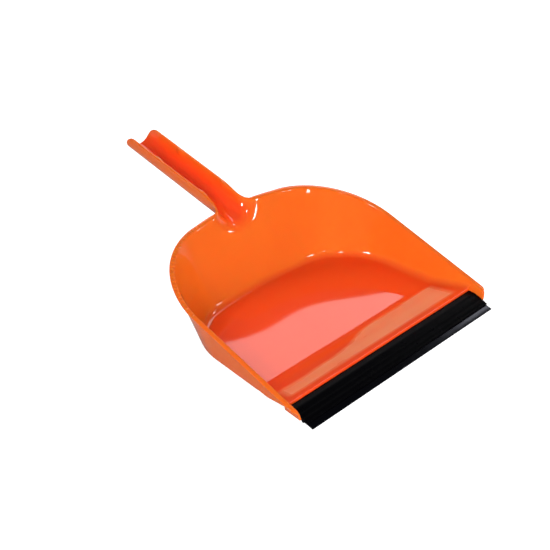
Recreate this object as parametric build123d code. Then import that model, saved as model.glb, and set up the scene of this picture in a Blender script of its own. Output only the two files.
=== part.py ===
from build123d import *
import os
from math import asin, atan, cos, degrees, radians, sin, sqrt, tan

# A hand dustpan: one orange moulding with an open channel handle, and a black lip of two strips.
# Millimetres. +Z is up, the ground is Z = 0, and +Y runs from the lip to the handle.
# Everything is drawn with the lip's tip at Y = 0, then moved back by half the length, so the
# origin is the middle of the footprint on the ground.

os.makedirs("parts", exist_ok=True)

# Whole dustpan
LENGTH = 327.0           # lip tip to handle end
PAN_DEPTH = 200.7        # lip tip to the back of the rim flange
RIM_WIDTH = 233.4        # across the rim flange
RIM_FRONT_Z = 8.3        # height of the rim's plane above the lip tip
RIM_ANGLE = 15.8         # slope of the rim's plane, degrees

# Rim flange, drawn in the rim's own plane
RIM_CORNER_R = 84.0
RIM_BOW_R = 240.0        # the back edge is bowed
FLANGE_WIDTH = 2.6       # beyond the wall
FLANGE_THICK = 2.0
FLANGE_NOSE_R = 6.0      # front corners of the flange

# Comb: low round ribs across the flange at the left back corner, for drawing a brush clean
COMB_COUNT = 27
COMB_PITCH = 4.45        # along the rim's edge
COMB_START = 6.0         # along the rim's edge, from the corner's start to the first rib
COMB_RIB_R = 1.0
COMB_PROUD = 0.4
COMB_MARGIN = 0.5        # rib's ends to the flange's edges

# Walls and floor
WALL = 1.8
SIDE_DRAFT = 14.6        # lean of the side walls, degrees
BACK_OVERHANG = 35.5     # the rim's back edge stands this far behind the base
BASE_CORNER_R = 58.0
BASE_BOW_R = 400.0
BASE_EDGE_R = 6.5        # rounding where the walls meet the ground
FLOOR_THICK = 2.0
FLOOR_EDGE_R = 8.0       # rounding between the floor and the walls, inside
WALL_FRONT_Y = 10.5      # front ends of the side walls
WALL_NOSE_R = 6.0

# Ramp, crest and tongue at the front
CREASE_Y = 59.5          # where the flat floor turns up into the ramp
CREASE_R = 25.0
CREST_Y = 24.9           # front face of the crest, behind the lip
CREST_Z = 9.6
CREST_R = 1.4
TONGUE_FRONT_Y = 15.6    # the tongue is what the lip clips on
TONGUE_TOP_Z = 5.3
TONGUE_THICK = 1.5
RIB_Y = 18.6             # snap rib under the tongue
RIB_R = 0.45

# Handle: an open-top channel
HANDLE_RISE = 12.0       # slope of the top edges, degrees
ROOT_RUN = 19.3          # behind the rim's back edge, where the top edges turn straight
ROOT_RISE = 8.1          # above the rim's back edge, at the same place
HANDLE_WIDTH = 28.8      # outside, at the top edges
CHANNEL_DEPTH = 17.5     # outside
CHANNEL_WALL = 2.0
CHANNEL_DRAFT = 2.0      # lean of each channel wall, degrees
CHANNEL_R = 12.0         # outside bottom corners
HANDLE_END_R = 11.0      # top corners at the open end
ROOT_R = 14.0            # rounding where the handle leaves the pan
SWEEP_R = 40.0           # easing of the top edge into the rim

# Nubs that hold a brush handle in the channel
NUB_LENGTH = 11.0
NUB_PROUD = 1.3
NUB_DROP = 2.0           # centre below the top edge
NUB_FRONT_RUN = 3.0      # behind the place where the top edges turn straight
NUB_BACK_RUN = 47.0      # ahead of the handle's end

# Lip: a firm clip with a fin, and a soft blade on a round bead
LIP_TOP_Z = 7.6
LIP_SHOULDER_Y = 18.5    # where the clip's flat top turns down to the fin
LIP_SHOULDER_R = 8.0
FIN_TIP_Y = 5.2
FIN_TIP_Z = 3.3
FIN_THICK = 0.8
LEG_BACK_Y = 21.5        # back end of the leg under the tongue
LEG_THICK = 1.25
BEAD_Y = 10.0
BEAD_Z = 2.4
BEAD_R = 1.0
JAW = 0.6                # wall of the groove round the bead
BLADE_ROOT = 0.9
BLADE_TIP = 0.5
BLADE_UP = 8.0           # flex, degrees
BLADE_DOWN = 15.0

# Clearances
SEAT_GAP = 0.1           # clip to tongue
STEP_GAP = 0.3           # clip to crest
LIP_END_GAP = 0.2        # clip to the side walls, at each end
BEAD_GAP = 0.05          # bead to groove
MOUTH_GAP = 4.0          # spare angle at the groove's mouth, degrees
OVER = 16.0              # how far solids are drawn past the rim before they are trimmed
FAR = 400.0              # reach of trimming shapes

RIM_SLOPE = tan(radians(RIM_ANGLE))
HANDLE_SLOPE = tan(radians(HANDLE_RISE))
tilt = radians(RIM_ANGLE)
slope = radians(HANDLE_RISE)
base_back_y = PAN_DEPTH - BACK_OVERHANG
root_y = PAN_DEPTH + ROOT_RUN
root_z = RIM_FRONT_Z + PAN_DEPTH * RIM_SLOPE + ROOT_RISE
RIM_PLANE = Plane(origin=(0, 0, RIM_FRONT_Z), x_dir=(1, 0, 0), z_dir=(0, -sin(tilt), cos(tilt)))
OVER_PLANE = RIM_PLANE.offset(OVER)
HANDLE_PLANE = Plane(origin=(0, root_y, root_z), x_dir=(1, 0, 0),
                     z_dir=(0, cos(slope), sin(slope)))


def rim_z(y):
    return RIM_FRONT_Z + y * RIM_SLOPE


def handle_z(y):
    return root_z + (y - root_y) * HANDLE_SLOPE


def plan(half, taper, corner_r, bow_r, back_y, front_y):
    """Outline with straight sides, round back corners, a bowed back and a square front."""
    side = Vector(cos(taper), sin(taper))
    along = Vector(-sin(taper), cos(taper))
    bow = Vector(0, back_y - bow_r)
    start = side * (half * cos(taper) - corner_r)
    lead = along.dot(start - bow)
    gap = (start - bow).length ** 2 - (bow_r - corner_r) ** 2
    corner = start + along * (sqrt(lead * lead - gap) - lead)
    out = (corner - bow).normalized()
    front = Vector(half - front_y * tan(taper), front_y)
    flank = corner + side * corner_r
    bend = corner + (side + out).normalized() * corner_r
    rear = bow + out * bow_r
    right = [front, flank, bend, rear]
    left = [Vector(-p.X, p.Y) for p in right]
    edges = [
        Line(right[0], right[1]),
        ThreePointArc(right[1], right[2], right[3]),
        ThreePointArc(right[3], (0, back_y), left[3]),
        ThreePointArc(left[3], left[2], left[1]),
        Line(left[1], left[0]),
        Line(left[0], right[0]),
    ]
    return make_face(edges)


def across(points, radii, half):
    """Solid with the given side profile, in Y and Z, running across the pan."""
    profile = make_face(FilletPolyline(*points, radius=radii, close=True))
    return extrude(Plane.YZ * profile, amount=half, both=True)


def rod(y, z, radius):
    """Round bar along the lip."""
    return Pos(0, y, z) * Rot(0, 90, 0) * Cylinder(radius, 2 * lip_half)


# Walls lean out from the base on the ground, through the rim's plane, to a plane above it
lean = tan(radians(SIDE_DRAFT))
base_taper = atan(lean * RIM_SLOPE)
rim_back = PAN_DEPTH / cos(tilt)
wall_back = PAN_DEPTH - FLANGE_WIDTH
back_lean = (wall_back - base_back_y) / rim_z(wall_back)
back_grow = OVER * (sin(tilt) + back_lean * cos(tilt)) / (cos(tilt) - back_lean * sin(tilt))
side_grow = OVER * lean / cos(tilt)

# The lip fills the width between the side walls over the tongue
lip_back_y = CREST_Y - STEP_GAP
slot_top_z = TONGUE_TOP_Z + SEAT_GAP
wall_half = RIM_WIDTH / 2 - FLANGE_WIDTH - WALL
lip_half = wall_half - lean * (rim_z(lip_back_y) - slot_top_z) - LIP_END_GAP


def bowl(inset, front_y):
    """Solid inside the walls' outer faces, or inset from them."""
    half = RIM_WIDTH / 2 - FLANGE_WIDTH - inset
    grow = side_grow - FLANGE_WIDTH - inset
    base = plan(half - lean * RIM_FRONT_Z, base_taper, BASE_CORNER_R - inset, BASE_BOW_R - inset,
                base_back_y - inset, front_y)
    top = plan(half + side_grow, 0, RIM_CORNER_R + grow, RIM_BOW_R + grow,
               rim_back - FLANGE_WIDTH - inset + back_grow, front_y)
    return loft([base, OVER_PLANE * top], ruled=True)


# The handle's channel is drawn square to its slope: local Y runs down from the top edges
end_top_y = LENGTH - CHANNEL_DEPTH * sin(slope)
end_run = (end_top_y - root_y) / cos(slope)


def channel(inset):
    """Solid inside the channel's outer faces, or inset from them, up to the plane above the rim."""
    depth = CHANNEL_DEPTH - inset
    rise = OVER + CHANNEL_DEPTH
    draft = tan(radians(CHANNEL_DRAFT))
    top = HANDLE_WIDTH / 2 - inset + rise * draft
    foot = HANDLE_WIDTH / 2 - inset - depth * draft
    corner = CHANNEL_R - inset
    points = [(-top, -rise), (top, -rise), (foot, depth), (-foot, depth)]
    outline = make_face(FilletPolyline(*points, radius=[0, 0, corner, corner], close=True))
    profile = HANDLE_PLANE * outline
    solid = extrude(profile, amount=end_run + rise) + extrude(profile, amount=base_back_y - root_y)
    under = OVER_PLANE * Box(FAR, 3 * FAR, FAR, align=(Align.CENTER, Align.CENTER, Align.MAX))
    return solid & under


def with_handle(body, inset, radius):
    """Body with the channel joined on and the corner between them rounded."""
    tube = channel(inset)
    joined = body + tube
    return fillet(new_edges(body, tube, combined=joined), radius)


# Side view of everything under the rim and the handle's top edges
top_points = [
    (WALL_FRONT_Y, rim_z(WALL_FRONT_Y)),
    (PAN_DEPTH + FLANGE_WIDTH, rim_z(PAN_DEPTH + FLANGE_WIDTH)),
    (root_y, handle_z(root_y)),
    (end_top_y, handle_z(end_top_y)),
    (end_top_y + FAR * sin(slope), handle_z(end_top_y) - FAR * cos(slope)),
    (WALL_FRONT_Y, -FAR),
]
under_top = across(top_points, [WALL_NOSE_R, SWEEP_R, SWEEP_R, HANDLE_END_R, 0, 0], FAR)

# Side view of the hollow over the floor and ramp
ramp_slope = (CREST_Z - FLOOR_THICK) / (CREASE_Y - CREST_Y)
floor_points = [
    (-FAR, FLOOR_THICK + (CREASE_Y + FAR) * ramp_slope),
    (CREASE_Y, FLOOR_THICK),
    (FAR, FLOOR_THICK),
    (FAR, 2 * FAR),
    (-FAR, 2 * FAR),
]
over_floor = across(floor_points, [0, CREASE_R, 0, 0, 0], FAR)

# Side view of the lip's seat: in front of the tongue, over it, and over the rounded crest
crest_back_y = CREST_Y + 2 * CREST_R
seat_points = [
    (-FAR, -FAR),
    (TONGUE_FRONT_Y, -FAR),
    (TONGUE_FRONT_Y, TONGUE_TOP_Z),
    (CREST_Y, TONGUE_TOP_Z),
    (CREST_Y, CREST_Z),
    (crest_back_y, CREST_Z - (crest_back_y - CREST_Y) * ramp_slope),
    (crest_back_y, FAR),
    (-FAR, FAR),
]
over_tongue = across(seat_points, [0, 0, 0, 0, CREST_R, 0, 0, 0], FAR)

# Side view of the space under the tongue, the crest and the ramp
tongue_foot_z = TONGUE_TOP_Z - TONGUE_THICK
riser_y = CREST_Y + FLOOR_THICK
sheet = FLOOR_THICK * sqrt(1 + ramp_slope ** 2)
under_points = [
    (-FAR, tongue_foot_z),
    (riser_y, tongue_foot_z),
    (riser_y, FLOOR_THICK + (CREASE_Y - riser_y) * ramp_slope - sheet),
    (CREASE_Y - (sheet - FLOOR_THICK) / ramp_slope, 0),
    (CREASE_Y, -FAR),
    (-FAR, -FAR),
]
under_ramp = across(under_points, [0] * 6, FAR)

# Outer block of the pan and handle
block = bowl(0, WALL_FRONT_Y - OVER)
base_edges = [e for e in block.edges() if e.bounding_box().max.Z < 0.01 and e.center().Y > 0]
block = with_handle(fillet(base_edges, BASE_EDGE_R), 0, ROOT_R)

# Rim flange, with a neck that eases into the handle's sides
neck_half = HANDLE_WIDTH / 2 - CHANNEL_WALL / 2
rim = plan(RIM_WIDTH / 2, 0, RIM_CORNER_R, RIM_BOW_R, rim_back, WALL_FRONT_Y / cos(tilt))
rim = fillet(rim.vertices().sort_by(Axis.Y)[:2], FLANGE_NOSE_R)
rim = rim + Pos(0, rim_back) * Rectangle(2 * neck_half, 2 * (ROOT_R + FLANGE_WIDTH))
neck_corners = rim.vertices().filter_by(lambda v: abs(abs(v.X) - neck_half) < 0.01)
rim = fillet(neck_corners.sort_by(Axis.Y)[:2], ROOT_R)
flange = extrude(RIM_PLANE * rim, amount=-FLANGE_THICK) + extrude(RIM_PLANE * rim, amount=FLANGE_THICK)

# Hollow inside the walls and the handle
room = bowl(WALL, -OVER)
inside = room & over_floor
floor_edges = new_edges(room, over_floor, combined=inside).filter_by(lambda e: e.center().Y > 0)
inside = with_handle(fillet(floor_edges, FLOOR_EDGE_R), CHANNEL_WALL, ROOT_R + WALL)
hollow = inside + (room & over_tongue)

pan = ((block + flange) & under_top) - hollow - under_ramp

# Nubs: low domes on the channel's walls
nub_r = (NUB_LENGTH ** 2 / 4 + NUB_PROUD ** 2) / (2 * NUB_PROUD)
nub_x = HANDLE_WIDTH / 2 - CHANNEL_WALL - NUB_DROP * tan(radians(CHANNEL_DRAFT)) + nub_r - NUB_PROUD
within = channel(CHANNEL_WALL / 2) & under_top
for nub_y in (root_y + NUB_FRONT_RUN, LENGTH - NUB_BACK_RUN):
    for side in (-1, 1):
        centre = HANDLE_PLANE * Pos(side * nub_x, NUB_DROP, (nub_y - root_y) / cos(slope))
        pan = pan + (centre * Sphere(nub_r) & within)
pan = pan + rod(RIB_Y, tongue_foot_z, RIB_R)

# Comb: each rib lies square to the rim's edge, sunk in the flange's top
flange_top = WALL + FLANGE_WIDTH
corner_x = RIM_WIDTH / 2 - RIM_CORNER_R
corner_y = rim_back - RIM_BOW_R + sqrt((RIM_BOW_R - RIM_CORNER_R) ** 2 - corner_x ** 2)
corner = RIM_PLANE * Pos(-corner_x, corner_y, COMB_PROUD - COMB_RIB_R)
tooth = Rot(0, 90, 0) * Cylinder(COMB_RIB_R, flange_top - 2 * COMB_MARGIN)
for step in range(COMB_COUNT):
    turn = 180 - degrees((COMB_START + step * COMB_PITCH) / RIM_CORNER_R)
    pan = pan + corner * Rot(0, 0, turn) * Pos(RIM_CORNER_R - flange_top / 2) * tooth

# Lip clip: flat top and fin, leg under the tongue, and the groove for the blade's bead
slot_front_y = TONGUE_FRONT_Y - SEAT_GAP
leg_top_z = tongue_foot_z - SEAT_GAP
leg_foot_z = leg_top_z - LEG_THICK
groove_r = BEAD_R + BEAD_GAP
jaw_r = groove_r + JAW
fin_slope = (LIP_TOP_Z - FIN_TIP_Z) / (LIP_SHOULDER_Y - FIN_TIP_Y)
fin_drop = FIN_THICK * sqrt(1 + fin_slope ** 2)
fin_root_y = BEAD_Y - jaw_r
clip_points = [
    (lip_back_y, LIP_TOP_Z),
    (LIP_SHOULDER_Y, LIP_TOP_Z),
    (FIN_TIP_Y, FIN_TIP_Z),
    (FIN_TIP_Y, FIN_TIP_Z - fin_drop),
    (fin_root_y, FIN_TIP_Z + (fin_root_y - FIN_TIP_Y) * fin_slope - fin_drop),
    (BEAD_Y, BEAD_Z),
    (BEAD_Y + jaw_r, leg_foot_z),
    (LEG_BACK_Y, leg_foot_z),
    (LEG_BACK_Y, leg_top_z),
    (slot_front_y, leg_top_z),
    (slot_front_y, slot_top_z),
    (lip_back_y, slot_top_z),
]
clip = across(clip_points, [0, LIP_SHOULDER_R] + [0] * 10, lip_half) + rod(BEAD_Y, BEAD_Z, jaw_r)
clip = clip - rod(BEAD_Y, BEAD_Z, groove_r) - rod(RIB_Y, tongue_foot_z, RIB_R + SEAT_GAP)

# Lip blade: a round bead and a tapered blade whose tip meets the ground
blade_tilt = atan((BEAD_Z - BLADE_TIP / 2) / BEAD_Y)
down_y = sin(blade_tilt)
down_z = -cos(blade_tilt)
blade_points = [
    (BEAD_Y - down_y * BLADE_ROOT / 2, BEAD_Z - down_z * BLADE_ROOT / 2),
    (BEAD_Y + down_y * BLADE_ROOT / 2, BEAD_Z + down_z * BLADE_ROOT / 2),
    (BLADE_TIP * down_y, 0),
    (0, -BLADE_TIP * down_z),
]
blade = across(blade_points, [0] * 4, lip_half) + rod(BEAD_Y, BEAD_Z, BEAD_R)

# The groove's mouth leaves the blade's neck free over its whole flex
ahead = 180 + degrees(blade_tilt)
spread = degrees(asin(BLADE_ROOT / 2 / BEAD_R)) + MOUTH_GAP


def from_bead(angle, length):
    return (BEAD_Y + length * cos(radians(angle)), BEAD_Z + length * sin(radians(angle)))


mouth_points = [
    (BEAD_Y, BEAD_Z),
    from_bead(ahead - spread - BLADE_UP, 1.1 * jaw_r),
    from_bead(ahead, 2 * jaw_r),
    from_bead(ahead + spread + BLADE_DOWN, 1.1 * jaw_r),
]
clip = clip - across(mouth_points, [0] * 4, lip_half)

to_origin = Pos(0, -LENGTH / 2, 0)
export_step(to_origin * pan, "parts/pan_moulding.step")
export_step(to_origin * clip, "parts/lip_clip.step")
export_step(to_origin * blade, "parts/lip_blade.step")
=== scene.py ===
from math import atan, cos, pi, radians, sin, sqrt, tan

import bmesh
import bpy
import numpy as np
from mathutils import Matrix, Vector


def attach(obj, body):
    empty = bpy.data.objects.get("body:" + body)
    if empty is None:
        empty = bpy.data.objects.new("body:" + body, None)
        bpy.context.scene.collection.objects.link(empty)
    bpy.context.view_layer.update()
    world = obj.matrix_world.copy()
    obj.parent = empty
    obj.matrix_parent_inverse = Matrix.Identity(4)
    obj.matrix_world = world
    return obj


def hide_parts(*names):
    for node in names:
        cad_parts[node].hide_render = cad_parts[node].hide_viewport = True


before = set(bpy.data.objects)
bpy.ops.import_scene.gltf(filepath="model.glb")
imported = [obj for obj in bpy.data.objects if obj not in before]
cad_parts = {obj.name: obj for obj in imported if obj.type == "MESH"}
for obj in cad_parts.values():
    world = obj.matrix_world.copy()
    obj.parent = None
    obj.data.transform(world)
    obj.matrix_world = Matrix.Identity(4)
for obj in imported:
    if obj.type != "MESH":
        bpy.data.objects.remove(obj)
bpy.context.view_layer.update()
scene = bpy.context.scene
scene.view_settings.view_transform = "Standard"


# Pan moulding: floor, ramp, leaning walls, rim flange and open channel handle, injection moulded in one
# shot of orange polypropylene with a polished mould. Every edge carries the small radius of the mould,
# and a comb of low ribs on the rim's left back corner takes the brush's bristles.
MM = 0.001
LIP_TIP = -163.5           # the lip's tip in the frame: the pan's sizes are in millimetres from there
RIM_TILT = radians(15.8)
RIM_RISE = tan(RIM_TILT)
RIM_FRONT = 8.3            # the rim's plane over the lip's tip
RIM_BACK = 200.7 / cos(RIM_TILT)
RIM_BOW = 240.0
RIM_CORNER = 84.0
FLANGE = 2.6
FLANGE_THICK = 2.0
RIM_START = 18.5           # where the rim turns straight behind the wall's rounded front end
EDGE = 0.7                 # radius of the moulded edges
SIDE_LEAN = tan(radians(14.6))
SIDE_HALF = 114.1          # outside of the side walls at the rim
WALL = 1.8
WALL_FRONT = 10.5
NOSE_R = 6.0
BASE_BACK = 165.2
BASE_BOW = 400.0
BASE_CORNER = 58.0
BASE_EDGE = 6.5            # rounding outside, where the walls meet the ground
FLOOR = 2.0
FLOOR_EDGE = 8.0           # rounding inside, between the floor and the walls
RAMP_EDGE = 5.4            # the same at the ramp's front end
RULED = 16.0               # the walls' straight lines run from the ground to this far over the rim
CREASE = 59.5              # where the floor turns up into the ramp
CREASE_R = 25.0
CREST = 24.9
CREST_Z = 9.6
CREST_R = 0.5
RAMP = (CREST_Z - FLOOR) / (CREASE - CREST)
TONGUE_FRONT = 15.6
TONGUE_TOP = 5.3
TONGUE_FOOT = 3.8
HANDLE_RISE = radians(12.0)
ROOT = Vector((0, 220.0, 73.19))
ALONG = Vector((0, cos(HANDLE_RISE), sin(HANDLE_RISE)))
INTO = Vector((0, sin(HANDLE_RISE), -cos(HANDLE_RISE)))
HANDLE_HALF = 14.4
HANDLE_DEEP = 17.5
HANDLE_WALL = 2.0
HANDLE_R = 12.0
HANDLE_DRAFT = tan(radians(2))
HEART = 5.0                # depth of a line in the channel's middle
HANDLE_END = 105.67
END_R = 11.0
ROOT_R = 14.0
NECK_RISE = 0.4407         # slope of the top edge between the rim and the handle

# Height of the top edge along the pan: the rim's plane, then two easy bends up into the handle
stations = np.linspace(0, 330, 3301)
slopes = np.interp(stations, [200.6, 206.0, 216.2, 224.0],
                   [RIM_RISE, NECK_RISE, NECK_RISE, tan(HANDLE_RISE)])
rises = (slopes[1:] + slopes[:-1]) / 2 * stations[1]
heights = RIM_FRONT + np.concatenate(([0], np.cumsum(rises)))


def rim_z(y):
    return RIM_FRONT + y * RIM_RISE


def arc(corner, one, other, radius, steps):
    """Rounding of a corner between two directions, tangent to both."""
    one, other = one.normalized(), other.normalized()
    half = one.angle(other) / 2
    centre = corner + (one + other).normalized() * (radius / sin(half))
    start = corner + one * (radius / tan(half)) - centre
    end = corner + other * (radius / tan(half)) - centre
    return [centre + start.slerp(end, k / steps).normalized() * radius for k in range(steps + 1)]


def evenly(points, count, skip=0.0):
    """Points at even spaces along a line, from a distance along it."""
    runs = [0.0]
    for p, q in zip(points, points[1:]):
        runs.append(runs[-1] + (q - p).length)
    places = np.linspace(skip, runs[-1], count)
    return [Vector(p) for p in zip(*(np.interp(places, runs, [p[k] for p in points]) for k in range(3)))]


def outline(half, taper, corner_r, bow_r, back, turns, bows):
    """Left half of a plan: round its back corner and along the bow to the middle."""
    side = Vector((cos(taper), sin(taper)))
    along = Vector((-sin(taper), cos(taper)))
    bow = Vector((0, back - bow_r))
    start = side * (half * cos(taper) - corner_r)
    lead = along.dot(start - bow)
    gap = (start - bow).length_squared - (bow_r - corner_r) ** 2
    corner = start + along * (sqrt(lead * lead - gap) - lead)
    meet = Vector((1, 0)).angle(corner - bow)
    turned = [taper + (meet - taper) * t for t in turns]
    bowed = [meet + (pi / 2 - meet) * t for t in bows]
    points = [corner + Vector((cos(a), sin(a))) * corner_r for a in turned]
    points += [bow + Vector((cos(a), sin(a))) * bow_r for a in bowed]
    return [Vector((-p.x, p.y)) for p in points]


def rulings(inset, turns, bows):
    """Feet and heads of the straight lines that make the back of a wall's face."""
    half = SIDE_HALF - inset
    side_grow = RULED * SIDE_LEAN / cos(RIM_TILT)
    lean = (RIM_BACK - FLANGE / cos(RIM_TILT)) * cos(RIM_TILT)
    lean = (lean - BASE_BACK) / rim_z(lean)
    back_grow = RULED * (sin(RIM_TILT) + lean * cos(RIM_TILT)) / (cos(RIM_TILT) - lean * sin(RIM_TILT))
    grow = side_grow - FLANGE - inset
    low = outline(half - SIDE_LEAN * RIM_FRONT, atan(SIDE_LEAN * RIM_RISE), BASE_CORNER - inset,
                  BASE_BOW - inset, BASE_BACK - inset, turns, bows)
    high = outline(half + side_grow, 0, RIM_CORNER + grow, RIM_BOW + grow,
                   RIM_BACK - FLANGE - inset + back_grow, turns, bows)
    tilted = Matrix.Translation((0, 0, RIM_FRONT)) @ Matrix.Rotation(RIM_TILT, 4, "X")
    return [p.to_3d() for p in low], [tilted @ Vector((p.x, p.y, RULED)) for p in high]


def at_height(foot, head, z):
    return foot.lerp(head, (z - foot.z) / (head.z - foot.z))


def at_rim(foot, head, drop):
    """Where a ruling passes the rim's plane, or a plane under it."""
    up = Vector((0, -sin(RIM_TILT), cos(RIM_TILT)))
    low, high = [(p - Vector((0, 0, RIM_FRONT))).dot(up) + drop for p in (foot, head)]
    return foot.lerp(head, low / (low - high))


def on_side(inset, y, z):
    """A place on the flat left wall."""
    return Vector((SIDE_LEAN * (rim_z(y) - z) - SIDE_HALF + inset, y, z))


def on_back(inset, x, z):
    """A place on the bowed back wall."""
    line = [at_height(foot, head, z) for foot, head in zip(*back_rulings[inset])]
    return Vector((x, np.interp(-abs(x), [p.x for p in line], [p.y for p in line]), z))


def on_nose(inset, share, radius):
    """A place on the rounded front end of the wall, from its front edge to the rim."""
    turn = pi - share * (pi / 2 - RIM_TILT)
    z = rim_z(WALL_FRONT + NOSE_R) - NOSE_R / cos(RIM_TILT)
    return on_side(inset, WALL_FRONT + NOSE_R + radius * cos(turn), z + radius * sin(turn))


def floor_z(y):
    """The floor's height: flat, then a wide bend, then the ramp."""
    bend = CREASE_R * tan(atan(RAMP) / 2)
    if y < CREASE - bend * cos(atan(RAMP)):
        return FLOOR + (CREASE - y) * RAMP
    return FLOOR + CREASE_R - sqrt(CREASE_R ** 2 - max(0.0, CREASE + bend - y) ** 2)


def ramp_foot(y):
    return max(0.0, FLOOR + (CREASE - y) * RAMP - FLOOR * sqrt(1 + RAMP ** 2))


def channel_line(shrink, s):
    """Half of the channel's section at a distance along it, from over its edge to its bottom's middle."""
    half, deep = HANDLE_HALF - shrink, HANDLE_DEEP - shrink
    over = 9.0
    foot = Vector((HANDLE_DRAFT * deep - half, deep, 0))
    bend = arc(foot, Vector((-HANDLE_DRAFT, -1, 0)), Vector((1, 0, 0)), HANDLE_R - shrink, 14)
    line = evenly([Vector((-half - over * HANDLE_DRAFT, -over, 0)), bend[0]], 16) + bend[1:]
    line += evenly([bend[-1], Vector((0, deep, 0))], 4)[1:]
    return [ROOT + Vector((p.x, 0, 0)) + INTO * p.y + ALONG * s for p in line]


def under_edge(line, depth=0.0):
    """The stretch of a section's line that lies under the handle's top edge."""
    spare = [min(np.interp(p.y, stations, heights) - p.z, (p - ROOT).dot(INTO) - depth) for p in line]
    k = max(i for i in range(len(line)) if spare[i] < 0 or i == 0)
    return [line[k].lerp(line[k + 1], spare[k] / (spare[k] - spare[k + 1]))] + line[k + 1:]


def handle_face(inset, shrink, root_r, skip):
    """Rows of one face of the handle from the back wall to its end, with the line of its top edge."""
    # Each line of the channel is run forward until it meets the wall, which a step along it nears by 0.872
    nearing = 0.872
    corners = []
    for p in channel_line(shrink, 0):
        s = -20.0
        for turn in range(12):
            q = p + ALONG * s
            s += (on_back(inset, q.x, q.z).y - q.y) / nearing
        corners.append(p + ALONG * s)
    arcs = []
    for k, p in enumerate(corners):
        tangent = corners[k + 1] - corners[max(k - 1, 0)] if k + 1 < len(corners) else Vector((1, 0, 0))
        across = on_back(inset, p.x + 1, p.z) - on_back(inset, p.x - 1, p.z)
        upward = on_back(inset, p.x, p.z + 1) - on_back(inset, p.x, p.z - 1)
        away = across.cross(upward).cross(tangent)
        from_heart = p - ROOT - ALONG * (p - ROOT).dot(ALONG) - INTO * HEART
        if away.dot(from_heart) < 0:
            away = -away
        bend = arc(p, away, ALONG, root_r, BEND)
        shift = on_back(inset, bend[0].x, bend[0].z) - bend[0]
        arcs.append([q + shift * (1 - n / BEND) ** 2 for n, q in enumerate(bend)])
    lines = [list(line) for line in zip(*arcs)]
    first = max((p - ROOT).dot(ALONG) for p in lines[-1]) + 2
    lines += [channel_line(shrink, s) for s in np.linspace(first, HANDLE_END - END_R, 70)]
    cuts = [under_edge(line) for line in lines]
    edge = [cut[0] for cut in cuts]
    rows = [evenly(cut, FAN + 1, skip) for cut in cuts]
    for k in range(1, END_ROWS + 1):
        turn = k / END_ROWS * pi / 2
        for radius in (END_R, END_R - skip):
            s = HANDLE_END - END_R + radius * sin(turn)
            cut = under_edge(channel_line(shrink, s), END_R - radius * cos(turn))
            if radius == END_R:
                edge.append(cut[0])
            else:
                rows.append(evenly(cut, FAN + 1))
    edge += evenly(under_edge(channel_line(shrink, HANDLE_END), END_R), FAN + 1)[1:]
    return rows, edge


def pan_face(inset, shrink, root_r, foot_r, skip, feet, ground):
    """One face of the moulding's left half: columns from the floor to the rim, then the handle's rows, with
    the line of the top edge and the line where the face stops short of it."""
    rows, edge = handle_face(inset, shrink, root_r, skip)
    low, high = rulings(inset, TURNS, BOWS + FANS)
    rim_end = at_rim(low[0], high[0], 0).y
    columns = []
    for k, (y, z, r) in enumerate(feet):
        if k == 0:
            head, stop = on_side(inset, WALL_FRONT, z), on_side(inset, WALL_FRONT + skip, z)
        elif k <= len(NOSES):
            head, stop = on_nose(inset, NOSES[k - 1], NOSE_R), on_nose(inset, NOSES[k - 1], NOSE_R - skip)
        else:
            h = RIM_START + (rim_end - RIM_START) * SHARES[k - 1 - len(NOSES)]
            head = on_side(inset, h, rim_z(h))
            stop = on_side(inset, h + skip * sin(RIM_TILT), rim_z(h) - skip * cos(RIM_TILT))
        columns.append((on_side(inset, y, z), Vector((1, 0, 0)), r, head, stop))
    back_feet = [at_height(foot, head, ground) for foot, head in zip(low, high)]
    around = [columns[-1][0]] + back_feet + [back_feet[-2] * Vector((-1, 1, 1))]
    for k, foot in enumerate(back_feet):
        way = around[k + 2] - around[k]
        inward = Vector((way.y, -way.x, 0))
        if k < len(TURNS + BOWS):
            head, stop = at_rim(low[k], high[k], 0), at_rim(low[k], high[k], skip)
        else:
            head, stop = edge[0], rows[0][k - len(TURNS + BOWS)]
        columns.append((foot, inward.normalized(), foot_r, head, stop))
    lines = []
    for k, (foot, inward, r, head, stop) in enumerate(columns):
        bend = [foot] * (BEND + 1)
        if r > 0:
            bend = arc(foot, inward, stop - foot, r, BEND)
        wall = evenly([bend[-1], stop], WALL_ROWS)[1:]
        if k >= len(columns) - len(FANS):
            wall = [on_back(inset, p.x, p.z) for p in wall[:-1]] + [stop]
        lines.append([bend[0] + inward * (FLAT if r > 0 else 0)] + bend + wall)
    regular = len(columns) - len(FANS) + 1
    top = [c[3] for c in columns[:regular]] + edge[1:]
    short = [c[4] for c in columns[:regular]] + [row[0] for row in rows[1:]] + rows[-1][1:]
    return lines, rows, top, short


# Rows round a bend, up a wall, round the handle's end and in the fan under the handle
BEND = 8
WALL_ROWS = 8
END_ROWS = 8
FAN = 18
FLAT = 4.0                 # strip of floor or ground beside the bends
TURNS = [k / 30 for k in range(31)]
BOWS = [0.12, 0.24, 0.36, 0.46]
FANS = [0.54 + 0.46 * k / FAN for k in range(FAN + 1)]
NOSES = [0, 0.35, 0.7, 1]
back_rulings = {inset: rulings(inset, [], [k / 24 for k in range(25)]) for inset in (0, WALL)}

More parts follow.
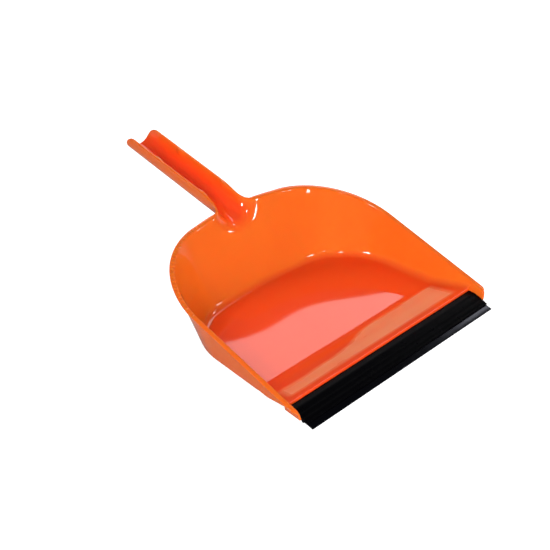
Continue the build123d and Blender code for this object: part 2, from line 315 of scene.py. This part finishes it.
# Feet of the flat side wall's columns: place along, height and rounding, inside and outside
crest = arc(Vector((0, CREST, CREST_Z)), Vector((0, 1, -RAMP)), Vector((0, 0, -1)), CREST_R, 2)
flank = []
for inset, ground in ((WALL, FLOOR), (0, 0)):
    (foot,), (head,) = rulings(inset, [0], [])
    flank.append(at_height(foot, head, ground).y)
inner_feet = [(WALL_FRONT + EDGE, TONGUE_FOOT, 0), (12.5, TONGUE_FOOT, 0), (TONGUE_FRONT, TONGUE_FOOT, 0)]
inner_feet += [(y, TONGUE_TOP, 0) for y in (TONGUE_FRONT, RIM_START, 21.5, CREST)]
inner_feet += [(p.y, p.z, RAMP_EDGE) for p in reversed(crest)]
inner_run = [25.9, 31, 37, 43, 49] + [CREASE + step for step in (-5, -3.1, -1.5, 0, 1.5, 3.2)]
inner_run += list(np.linspace(inner_run[-1], flank[0], 8)[1:-1])
inner_feet += [(y, floor_z(y), np.interp(y, [CREST, CREASE], [RAMP_EDGE, FLOOR_EDGE])) for y in inner_run]
TONGUE_BACK = 26.9
outer_feet = [(y, TONGUE_FOOT, 0) for y in (WALL_FRONT + FLANGE_THICK, 13.6, TONGUE_FRONT, RIM_START, 21, 24,
                                            TONGUE_BACK)]
outer_run = [TONGUE_BACK, 28.5, 30, 32, 34, 38, 42, 46, 50.7, 53, 55, 57, 59, 61.5]
outer_run += list(np.linspace(outer_run[-1], flank[1], 8)[1:-1])
outer_feet += [(y, ramp_foot(y), np.interp(y, [47, 56.5], [0.8, BASE_EDGE])) for y in outer_run]
rim_run = [RIM_START, 21.0, 23.5, 24.5, 25.2] + inner_run
SHARES = [(y - RIM_START) / (flank[0] - RIM_START) for y in rim_run]

inner, inner_rows, inner_edge, inner_stop = pan_face(
    WALL, HANDLE_WALL, ROOT_R + WALL, FLOOR_EDGE, EDGE, inner_feet, FLOOR)
outer, outer_rows, outer_edge, outer_stop = pan_face(0, 0, ROOT_R, BASE_EDGE, FLANGE_THICK, outer_feet, 0)


# Nubs: low domes on the channel's walls, just under its top edges, that hold a brush's handle
NUBS_Y = (223.0, 280.0)
NUB_HALF = 5.5
NUB_PROUD = 1.3
NUB_DROP = 2.0
NUB_WALL = -8.0            # the channel's bottom lies inside this


def with_nubs(points):
    """Raises the nubs from an inner face."""
    ball = (NUB_HALF ** 2 + NUB_PROUD ** 2) / (2 * NUB_PROUD)
    raised = []
    for p in points:
        push = 0.0
        for y in NUBS_Y:
            centre = ROOT + ALONG * ((y - ROOT.y) / cos(HANDLE_RISE)) + INTO * NUB_DROP
            gap = ((p - centre) * Vector((0, 1, 1))).length
            if gap < NUB_HALF and p.x < NUB_WALL:
                push = max(push, sqrt(ball ** 2 - gap ** 2) - ball + NUB_PROUD)
        raised.append(p + Vector((push, 0, 0)))
    return raised


inner_rows = [with_nubs(row) for row in inner_rows]
inner_edge, inner_stop = with_nubs(inner_edge), with_nubs(inner_stop)


# The flange runs out where the top edge leaves the rim's plane for the handle, within this box
NECK_FRONT = 150
NECK_HALF = 51
NECK_LIFT = 0.4


def flange_reach(p):
    """How far the flange stands out beyond the wall at a place on the top edge."""
    if p.y < WALL_FRONT + NOSE_R:
        ahead = min(NOSE_R, WALL_FRONT + NOSE_R - p.y)
        return max(0.0, sqrt(NOSE_R ** 2 - ahead ** 2) - (NOSE_R - FLANGE))
    if p.y > NECK_FRONT and abs(p.x) < NECK_HALF:
        spare = RIM_BOW - Vector((p.x, p.y / cos(RIM_TILT) - RIM_BACK + RIM_BOW)).length
        return min(FLANGE, max(0.0, spare)) if p.z < rim_z(p.y) + NECK_LIFT else 0.0
    return FLANGE


def edge_section(a, b, c, d):
    """Rounded section of the top edge from the inner face to the outer, with any flange."""
    reach = flange_reach(c)
    out = (c - a).normalized()
    down = (d - c) / FLANGE_THICK
    tip = c + out * reach
    share = min(1.0, reach / (2 * EDGE))
    turns = [k / 3 * pi / 2 for k in range(4)]
    points = [a + (b - a) * (1 - sin(t)) + out * EDGE * (1 - cos(t)) for t in turns]
    points += [tip - out * EDGE * (1 - sin(t)) + down * EDGE * (1 - cos(t)) for t in turns]
    for k, t in enumerate(turns):
        lip = tip - out * EDGE * (1 - cos(t)) + down * (FLANGE_THICK - EDGE * (1 - sin(t)))
        points.append((c + down * (FLANGE_THICK - EDGE + 0.3 * EDGE * k)).lerp(lip, share))
    under = c + out * min(0.5, reach) + down * FLANGE_THICK
    points.append((c + down * (FLANGE_THICK - 0.04)).lerp(under, share))
    return points + [d]


def to_middle(p, count=13):
    return [Vector((p.x * (1 - k / (count - 1)), p.y, p.z)) for k in range(count)]


def sheet(bm, rows, deep=lambda k, n: 0.0):
    """Four-sided faces through rows of points, marked where they lie deep inside the pan or the channel,
    where the material paints shade.
    """
    grid = bmesh.ops.create_grid(bm, x_segments=len(rows[0]) - 1, y_segments=len(rows) - 1, size=1)
    places = [(p, deep(k, n)) for k, row in enumerate(rows) for n, p in enumerate(row)]
    for vert, (p, share) in zip(grid["verts"], places):
        vert.co = Vector((p.x, p.y + LIP_TIP, p.z)) * MM
        vert[depth] = min(max(share, 0.0), 1.0)


bm = bmesh.new()
# The depth layer carries painted shade: the material paints the marked floor, ramp and channel a deeper red,
# as if in shade, and the unmarked walls a lighter amber, as if lit.
depth = bm.verts.layers.float.new("depth")
sheet(bm, inner, lambda k, n: 1 - n / BEND)
sheet(bm, inner_rows, lambda k, n: min(k, n) / BEND)
sheet(bm, outer)
sheet(bm, outer_rows)
sheet(bm, [edge_section(*places) for places in zip(inner_edge, inner_stop, outer_edge, outer_stop)])
sheet(bm, [to_middle(column[0]) for column in inner[2:]], lambda k, n: 1.0)
underside = [to_middle(inner[2][0])] + [to_middle(column[0] * Vector((0.98, 1, 1))) for column in outer[3:]]
sheet(bm, [[column[0]] + row for column, row in zip(outer[2:], underside)])
sheet(bm, [[outer[k][0], inner[k][0]] for k in range(3)])
bmesh.ops.mirror(bm, geom=bm.verts[:] + bm.edges[:] + bm.faces[:], axis="X", merge_dist=1e-6)
bmesh.ops.remove_doubles(bm, verts=bm.verts, dist=2e-6)
bmesh.ops.dissolve_degenerate(bm, edges=bm.edges, dist=1e-6)
bmesh.ops.holes_fill(bm, edges=[e for e in bm.edges if e.is_boundary], sides=0)
bmesh.ops.recalc_face_normals(bm, faces=bm.faces)

# Comb: low ribs across the flange's top, sunk in it, round the left back corner. They stand 0.7 mm high,
# more than the 0.4 mm of the CAD part, so that they show.
COMB_COUNT = 27
COMB_START = 6.0
COMB_PITCH = 4.45
COMB_SUNK = 0.3
COMB_RIB = (1.9, 0.9, 1.0)
rim_place = Matrix.Translation((0, LIP_TIP * MM, RIM_FRONT * MM)) @ Matrix.Rotation(RIM_TILT, 4, "X")
corner_x = SIDE_HALF + FLANGE - RIM_CORNER
corner_y = RIM_BACK - RIM_BOW + sqrt((RIM_BOW - RIM_CORNER) ** 2 - corner_x ** 2)
middle = RIM_CORNER - (WALL + FLANGE) / 2
for step in range(COMB_COUNT):
    turn = pi - (COMB_START + step * COMB_PITCH) / RIM_CORNER
    spot = Vector((middle * cos(turn) - corner_x, middle * sin(turn) + corner_y, -COMB_SUNK)) * MM
    place = rim_place @ Matrix.Translation(spot) @ Matrix.Rotation(turn, 4, "Z")
    bmesh.ops.create_uvsphere(bm, u_segments=16, v_segments=8, radius=MM,
                              matrix=place @ Matrix.Diagonal(COMB_RIB + (1,)))


def finish_piece(bm, name, material, body, node):
    """Makes the object of a finished mesh and fixes it to its body in the frame."""
    for face in bm.faces:
        face.smooth = True
    mesh = bpy.data.meshes.new(name)
    bm.to_mesh(mesh)
    bm.free()
    mesh.set_sharp_from_angle(angle=radians(38))
    mesh.materials.append(material)
    piece = bpy.data.objects.new(name, mesh)
    scene.collection.objects.link(piece)
    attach(piece, body)
    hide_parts(node)


def linear(hex_colour):
    """Linear colour of an sRGB hex value."""
    parts = [int(hex_colour[i:i + 2], 16) / 255 for i in (1, 3, 5)]
    parts = [p / 12.92 if p <= 0.04045 else ((p + 0.055) / 1.055) ** 2.4 for p in parts]
    return (*parts, 1.0)


def add_node(tree, kind, inputs, **settings):
    """Adds a node with its settings. An input is a value, or an output to link from."""
    node = tree.nodes.new(kind)
    for name, value in settings.items():
        setattr(node, name, value)
    for name, value in inputs.items():
        if isinstance(value, bpy.types.NodeSocket):
            tree.links.new(value, node.inputs[name])
        else:
            node.inputs[name].default_value = value
    return node


# Polypropylene coloured in the mass and moulded against polished steel: a deep, slightly see-through orange
# with a wet gloss, slow waves where the walls sank as they cooled, painted shade that makes the floor, the
# ramp and the channel redder than the walls, and a ramp dulled by sweeping and painted pale, a painted
# reflection of the light behind the pan.
FIRST, SECOND, MIXED = 6, 7, 2     # a Mix node's two colours, and the colour that it gives
polypropylene = bpy.data.materials.new("orange_moulded_polypropylene")
polypropylene.use_nodes = True
tree = polypropylene.node_tree
tree.nodes.clear()
place = add_node(tree, "ShaderNodeTexCoord", {}).outputs["Object"]
axes = add_node(tree, "ShaderNodeSeparateXYZ", {"Vector": place})
# Clouds of pigment 50 mm wide, from the way the melt spread in the mould
clouds = add_node(tree, "ShaderNodeTexNoise", {"Vector": place, "Scale": 1 / (50 * MM), "Detail": 2.0})
shaded_floor_colour = add_node(tree, "ShaderNodeMix", {
    0: clouds.outputs[0], FIRST: linear("#ff4a1a"), SECOND: linear("#ff521f")}, data_type="RGBA")
lit_wall_colour = add_node(tree, "ShaderNodeMix", {
    0: clouds.outputs[0], FIRST: linear("#e8651a"), SECOND: linear("#ea6d1f")}, data_type="RGBA")
# Painted light and shade: the walls are painted a lighter amber, as if lit, and the floor, the ramp and the
# bottom of the channel a deeper red, as if in shade and lit only by light bounced off the walls
depth = add_node(tree, "ShaderNodeAttribute", {}, attribute_name="depth")
colour = add_node(tree, "ShaderNodeMix", {
    0: depth.outputs["Fac"], FIRST: lit_wall_colour.outputs[MIXED], SECOND: shaded_floor_colour.outputs[MIXED]},
    data_type="RGBA")
# The ramp's flat face, dulled by sweeping and painted pale pink, a painted reflection of the light behind the
# pan: streaks 12 mm wide and 60 mm long, along the lip
stretch = (1 / (60 * MM), 1 / (12 * MM), 1 / (12 * MM))
wear_and_sheen_space = add_node(tree, "ShaderNodeMapping", {"Vector": place, "Scale": stretch})
streaks = add_node(tree, "ShaderNodeTexNoise", {"Vector": wear_and_sheen_space.outputs[0], "Scale": 1.0, "Detail": 2.0})
# Its back edge lies near the crease on the right, and runs 14 mm forward on the left in slow waves
reach = add_node(tree, "ShaderNodeMapRange", {
    "Value": axes.outputs["X"], "From Min": -45 * MM, "From Max": 25 * MM,
    "To Min": (LIP_TIP + 41) * MM, "To Max": (LIP_TIP + 55) * MM}, interpolation_type="SMOOTHSTEP")
reach = add_node(tree, "ShaderNodeMath", {0: streaks.outputs[0], 1: 8 * MM, 2: reach.outputs[0]},
                 operation="MULTIPLY_ADD")
spare = add_node(tree, "ShaderNodeMath", {0: reach.outputs[0], 1: axes.outputs["Y"]}, operation="SUBTRACT")
# Where the patch fades in, in millimetres: front, back, left and right edges, and under the walls' fillets
wear_and_sheen = []
for value, start, end in ((axes.outputs["Y"], LIP_TIP + 29.5, LIP_TIP + 33), (spare.outputs[0], 0, 4),
                          (axes.outputs["Y"], LIP_TIP + 58.5, LIP_TIP + 55.5), (axes.outputs["X"], -104, -97),
                          (axes.outputs["X"], 101, 93), (axes.outputs["Z"], 10, 9)):
    fade = add_node(tree, "ShaderNodeMapRange", {
        "Value": value, "From Min": start * MM, "From Max": end * MM})
    wear_and_sheen.append(fade.outputs[0])
fade = add_node(tree, "ShaderNodeMapRange", {
    "Value": streaks.outputs[0], "From Min": 0.3, "From Max": 0.6, "To Min": 0.75})
wear_and_sheen.append(fade.outputs[0])
while len(wear_and_sheen) > 1:
    product = add_node(tree, "ShaderNodeMath", {0: wear_and_sheen.pop(), 1: wear_and_sheen.pop()}, operation="MULTIPLY")
    wear_and_sheen.append(product.outputs[0])
roughness = add_node(tree, "ShaderNodeMapRange", {"Value": wear_and_sheen[0], "To Min": 0.03, "To Max": 0.35})
# The pale pink mixed in here is a painted reflection of the light behind the pan, not a colour of the
# plastic.
colour = add_node(tree, "ShaderNodeMix", {
    0: wear_and_sheen[0], FIRST: colour.outputs[MIXED], SECOND: linear("#ff8f62")}, data_type="RGBA")
# One long sink wave across the floor, 150 mm from crest to crest, and small ones 70 mm long all over
phase = add_node(tree, "ShaderNodeMath", {
    0: axes.outputs["X"], 1: 2 * pi / (150 * MM), 2: 2 * pi * 30 / 150 + pi}, operation="MULTIPLY_ADD")
long_wave = add_node(tree, "ShaderNodeMath", {0: phase.outputs[0]}, operation="COSINE")
sunk = add_node(tree, "ShaderNodeBump", {
    "Height": long_wave.outputs[0], "Strength": 1.0, "Distance": 0.135 * MM})
waves = add_node(tree, "ShaderNodeTexNoise", {"Vector": place, "Scale": 1 / (70 * MM), "Detail": 0.0})
relief = add_node(tree, "ShaderNodeBump", {
    "Height": waves.outputs[0], "Strength": 1.0, "Distance": 0.08 * MM, "Normal": sunk.outputs[0]})
plastic = add_node(tree, "ShaderNodeBsdfPrincipled", {
    "Base Color": colour.outputs[MIXED], "Roughness": roughness.outputs[0], "Normal": relief.outputs[0],
    "IOR": 1.5, "Subsurface Weight": 0.3, "Subsurface Radius": (1.0, 0.2, 0.05),
    "Subsurface Scale": 3 * MM})
add_node(tree, "ShaderNodeOutputMaterial", {"Surface": plastic.outputs[0]})
finish_piece(bm, "pan_skin", polypropylene, "pan", "pan_moulding")


# Lip clip: a strip of firm black rubber, extruded in one section and cut square at its ends. Its jaws are
# pushed over the tongue under the pan's ramp, its top runs forward as a fin with two low ridges along it,
# and a groove holds the blade.
LIP_HALF = 109.53
BEAD = (10.0, 2.4)         # places in the section are in millimetres, behind the lip's tip and up
GROOVE_R = 1.05
JAW_R = 1.65
FIN_MEETS_JAW = 146.8      # angles round the bead, in degrees
MOUTH_TOP = 153.4
MOUTH_FOOT = 237.8
BACK = (24.6, 7.6)
SHOULDER = (18.5, 7.6)
FIN_TIP = (5.2, 3.3)
FIN_UNDER = [(5.2, 2.46), (8.35, 3.48)]
LEG_AND_SLOT = [(11.65, 2.45), (21.5, 2.45), (21.5, 3.7), (15.5, 3.7), (15.5, 5.4), (24.6, 5.4)]
RIDGES_Y = (12.8, 8.6)
RIDGE_HALF = 1.8
RIDGE_HEIGHT = 0.24


def round_bead(radius, first, last, steps):
    """Places on a circle round the blade's bead, from one angle to another."""
    turns = np.radians(np.linspace(first, last, steps + 1))
    return [(BEAD[0] + radius * cos(t), BEAD[1] + radius * sin(t)) for t in turns]


def extruded(section):
    """Draws a closed section along the lip. Gives the mesh and its long edges, in the section's order."""
    bm = bmesh.new()
    ring = [bm.verts.new((-LIP_HALF * MM, (y + LIP_TIP) * MM, z * MM)) for y, z in section]
    drawn = bmesh.ops.extrude_face_region(bm, geom=[bm.faces.new(ring)])["geom"]
    far = [v for v in drawn if isinstance(v, bmesh.types.BMVert)]
    bmesh.ops.translate(bm, vec=(2 * LIP_HALF * MM, 0, 0), verts=far)
    bmesh.ops.recalc_face_normals(bm, faces=bm.faces)
    return bm, [next(e for e in v.link_edges if e.other_vert(v).co.x > 0) for v in ring]


def soften(bm, edges, width, segments):
    bmesh.ops.bevel(bm, geom=edges, offset=width * MM, affect="EDGES", segments=segments, profile=0.5,
                    material=-1)


ridged = []
for middle in RIDGES_Y:
    for run in np.linspace(RIDGE_HALF, -RIDGE_HALF, 13):
        z = np.interp(middle + run, (FIN_TIP[0], SHOULDER[0]), (FIN_TIP[1], SHOULDER[1]))
        ridged.append((middle + run, z + RIDGE_HEIGHT * cos(pi / 2 * run / RIDGE_HALF) ** 2))
clip_section = [BACK, SHOULDER] + ridged + [FIN_TIP] + FIN_UNDER
clip_section += round_bead(JAW_R, FIN_MEETS_JAW, MOUTH_TOP, 1)
clip_section += round_bead(GROOVE_R, MOUTH_TOP, MOUTH_FOOT - 360, 20)
clip_section += round_bead(JAW_R, MOUTH_FOOT, 360, 9)
clip_section += LEG_AND_SLOT
bm, long_edges = extruded(clip_section)
back, shoulder = long_edges[:2]
fin_top, fin_foot = long_edges[2 + len(ridged):4 + len(ridged)]
soften(bm, [shoulder], 1.3, 6)
soften(bm, [back], 0.5, 4)
soften(bm, [fin_top, fin_foot], 0.2, 3)

# Firm EPDM rubber, extruded: near black, with a dull bloom and fine die lines drawn along the strip.
firm_rubber = bpy.data.materials.new("firm_black_epdm_rubber")
firm_rubber.use_nodes = True
tree = firm_rubber.node_tree
tree.nodes.clear()
place = add_node(tree, "ShaderNodeTexCoord", {}).outputs["Object"]
# Die lines 0.7 mm apart, drawn coarser than the real ones so that they show
stretch = (1 / (150 * MM), 1 / (0.7 * MM), 1 / (0.7 * MM))
drawn = add_node(tree, "ShaderNodeMapping", {"Vector": place, "Scale": stretch})
lines = add_node(tree, "ShaderNodeTexNoise", {"Vector": drawn.outputs[0], "Scale": 1.0, "Detail": 3.0})
bloom = add_node(tree, "ShaderNodeTexNoise", {"Vector": place, "Scale": 1 / (9 * MM), "Detail": 4.0})
colour = add_node(tree, "ShaderNodeMix", {
    0: lines.outputs[0], FIRST: linear("#010102"), SECOND: linear("#050507")}, data_type="RGBA")
roughness = add_node(tree, "ShaderNodeMapRange", {"Value": bloom.outputs[0], "To Min": 0.22, "To Max": 0.36})
relief = add_node(tree, "ShaderNodeBump", {
    "Height": lines.outputs[0], "Strength": 0.4, "Distance": 0.03 * MM})
rubber = add_node(tree, "ShaderNodeBsdfPrincipled", {
    "Base Color": colour.outputs[MIXED], "Roughness": roughness.outputs[0], "Normal": relief.outputs[0],
    "IOR": 1.5, "Specular IOR Level": 0.03})
add_node(tree, "ShaderNodeOutputMaterial", {"Surface": rubber.outputs[0]})
finish_piece(bm, "lip_clip_strip", firm_rubber, "pan", "lip_clip")


# Lip blade: a strip of soft black rubber, extruded with a round bead along its back. The bead is slid into
# the clip's groove from one end, and the thin blade bends there when it meets the ground.
BEAD_R = 1.0
NECK_TOP = 165.4
NECK_FOOT = 218.9
BLADE_TIP = [(0.105, 0), (0, 0.489)]

blade_section = round_bead(BEAD_R, NECK_TOP, NECK_FOOT - 360, 20) + BLADE_TIP
bm, long_edges = extruded(blade_section)
soften(bm, long_edges[-2:], 0.12, 3)

# Soft EPDM rubber, extruded through a polished die: black with a cool sheen, and slow waves as it is soft.
soft_rubber = bpy.data.materials.new("soft_black_epdm_rubber")
soft_rubber.use_nodes = True
tree = soft_rubber.node_tree
tree.nodes.clear()
place = add_node(tree, "ShaderNodeTexCoord", {}).outputs["Object"]
# Die lines 0.5 mm apart, drawn coarser than the real ones so that they show, and waves 25 mm long
stretch = (1 / (90 * MM), 1 / (0.5 * MM), 1 / (0.5 * MM))
drawn = add_node(tree, "ShaderNodeMapping", {"Vector": place, "Scale": stretch})
lines = add_node(tree, "ShaderNodeTexNoise", {"Vector": drawn.outputs[0], "Scale": 1.0, "Detail": 2.0})
waves = add_node(tree, "ShaderNodeTexNoise", {"Vector": place, "Scale": 1 / (25 * MM), "Detail": 1.0})
colour = add_node(tree, "ShaderNodeMix", {
    0: lines.outputs[0], FIRST: linear("#020203"), SECOND: linear("#06060a")}, data_type="RGBA")
roughness = add_node(tree, "ShaderNodeMapRange", {"Value": lines.outputs[0], "To Min": 0.1, "To Max": 0.2})
sway = add_node(tree, "ShaderNodeBump", {"Height": waves.outputs[0], "Strength": 1.0, "Distance": 0.15 * MM})
relief = add_node(tree, "ShaderNodeBump", {
    "Height": lines.outputs[0], "Strength": 0.3, "Distance": 0.02 * MM, "Normal": sway.outputs[0]})
rubber = add_node(tree, "ShaderNodeBsdfPrincipled", {
    "Base Color": colour.outputs[MIXED], "Roughness": roughness.outputs[0], "Normal": relief.outputs[0],
    "IOR": 1.5, "Specular IOR Level": 0.1, "Specular Tint": linear("#dfe2ff")})
add_node(tree, "ShaderNodeOutputMaterial", {"Surface": rubber.outputs[0]})
finish_piece(bm, "lip_blade_strip", soft_rubber, "blade", "lip_blade")


# Table: a pale sheet of paper that the pan stands on, lit as the pan is and white to the camera. Its curve
# up behind the pan is the white band that the glossy plastic mirrors, with the dark room over it.
bm = bmesh.new()
bmesh.ops.create_grid(bm, x_segments=1, y_segments=1, size=3.0)
mesh = bpy.data.meshes.new("paper_table")
bm.to_mesh(mesh)
bm.free()
table = bpy.data.objects.new("paper_table", mesh)
scene.collection.objects.link(table)
paper = bpy.data.materials.new("pale_matt_paper")
paper.use_nodes = True
tree = paper.node_tree
tree.nodes.clear()
path = add_node(tree, "ShaderNodeLightPath", {})
sheet_face = add_node(tree, "ShaderNodeBsdfDiffuse", {"Color": linear("#c0c0c0")})
white = add_node(tree, "ShaderNodeEmission", {
    "Color": linear("#ececec"), "Strength": path.outputs["Is Camera Ray"]})
both = add_node(tree, "ShaderNodeAddShader", {0: sheet_face.outputs[0], 1: white.outputs[0]})
add_node(tree, "ShaderNodeOutputMaterial", {"Surface": both.outputs[0]})
mesh.materials.append(paper)

world = bpy.data.worlds.new("white_sweep_in_dark_room")
scene.world = world
world.use_nodes = True
tree = world.node_tree
tree.nodes.clear()
path = add_node(tree, "ShaderNodeLightPath", {})
way = add_node(tree, "ShaderNodeTexCoord", {}).outputs["Generated"]
axes = add_node(tree, "ShaderNodeSeparateXYZ", {"Vector": way})
# The paper's band: it fades out from 11 to 15 degrees over the table, on the side that faces the camera
low = add_node(tree, "ShaderNodeMapRange", {
    "Value": axes.outputs["Z"], "From Min": sin(radians(15)), "From Max": sin(radians(11))})
behind = add_node(tree, "ShaderNodeVectorMath", {0: way, 1: (0.707, 0.707, 0)}, operation="DOT_PRODUCT")
facing = add_node(tree, "ShaderNodeMapRange", {
    "Value": behind.outputs["Value"], "From Min": 0.3, "From Max": 0.6})
band = add_node(tree, "ShaderNodeMath", {0: low.outputs[0], 1: facing.outputs[0]}, operation="MULTIPLY")
mirrored = add_node(tree, "ShaderNodeMath", {
    0: path.outputs["Is Glossy Ray"], 1: path.outputs["Is Transmission Ray"]}, operation="MAXIMUM")
shown = add_node(tree, "ShaderNodeMath", {0: mirrored.outputs[0], 1: band.outputs[0]}, operation="MULTIPLY")
seen = add_node(tree, "ShaderNodeMath", {
    0: path.outputs["Is Camera Ray"], 1: shown.outputs[0]}, operation="MAXIMUM")
room = add_node(tree, "ShaderNodeBackground", {"Color": linear("#ffffff"), "Strength": 0.1})
sweep = add_node(tree, "ShaderNodeBackground", {"Color": linear("#ffffff"), "Strength": 1.0})
both = add_node(tree, "ShaderNodeMixShader", {0: seen.outputs[0], 1: room.outputs[0], 2: sweep.outputs[0]})
add_node(tree, "ShaderNodeOutputWorld", {"Surface": both.outputs[0]})


# Lamps: three softboxes that light the pan from the left, the right and behind and aren't mirrored in it,
# one more behind that its floor mirrors, and small ones that only glint in the fillets and on the edges.
AIM = Vector((0, -0.06, 0))


def lamp(name, azimuth, elevation, distance, size, radiance, roll=0.0):
    """Flat lamp that faces the pan's middle, its azimuth in degrees from +Y towards +X."""
    light = bpy.data.lights.new(name, "AREA")
    light.shape = "RECTANGLE"
    light.size, light.size_y = size
    light.energy = radiance * pi * size[0] * size[1]
    holder = bpy.data.objects.new(name, light)
    scene.collection.objects.link(holder)
    turn, rise = radians(azimuth), radians(elevation)
    away = Vector((sin(turn) * cos(rise), cos(turn) * cos(rise), sin(rise)))
    facing = away.to_track_quat("Z", "Y").to_matrix().to_4x4() @ Matrix.Rotation(radians(roll), 4, "Z")
    holder.matrix_world = Matrix.Translation(AIM + away * distance) @ facing
    return holder


lamp("key_softbox", -137, 20, 1.6, (1.0, 1.0), 10.8).visible_glossy = False
lamp("right_softbox", 108, 13, 1.6, (0.9, 0.5), 6.0).visible_glossy = False
lamp("top_softbox", 32, 42, 1.6, (0.6, 0.6), 10.2).visible_glossy = False
lamp("back_softbox", 50, 40.2, 2.0, (1.1, 0.44), 2.45, 20)
for name, azimuth, elevation, size, radiance in (
        ("foot_lamp", 157, 30, (0.3, 0.12), 40), ("root_lamp", 127, 22, (0.1, 0.1), 30),
        ("left_lamp", -96, 40, (0.25, 0.2), 90), ("rim_lamp", -177, 27, (0.08, 0.08), 30),
        ("crown_lamp", -153, 62, (0.14, 0.14), 40), ("lip_lamp", 92, 42, (0.12, 0.12), 15)):
    lamp(name, azimuth, elevation, 1.5, size, radiance).visible_diffuse = False


# Camera: where the photograph's stood, by the solution that fits the lip, the rim and the handle. It looks
# down by 32 degrees from the left front, through a lens of 72 mm.
camera = bpy.data.cameras.new("camera")
camera.lens = 71.88
camera.sensor_width = 36.0
stand = bpy.data.objects.new("camera", camera)
scene.collection.objects.link(stand)
stand.location = (-0.5605, -0.5746, 0.5174)
stand.rotation_euler = (radians(90 - 32.2933), 0, radians(-45.0779))
scene.camera = stand
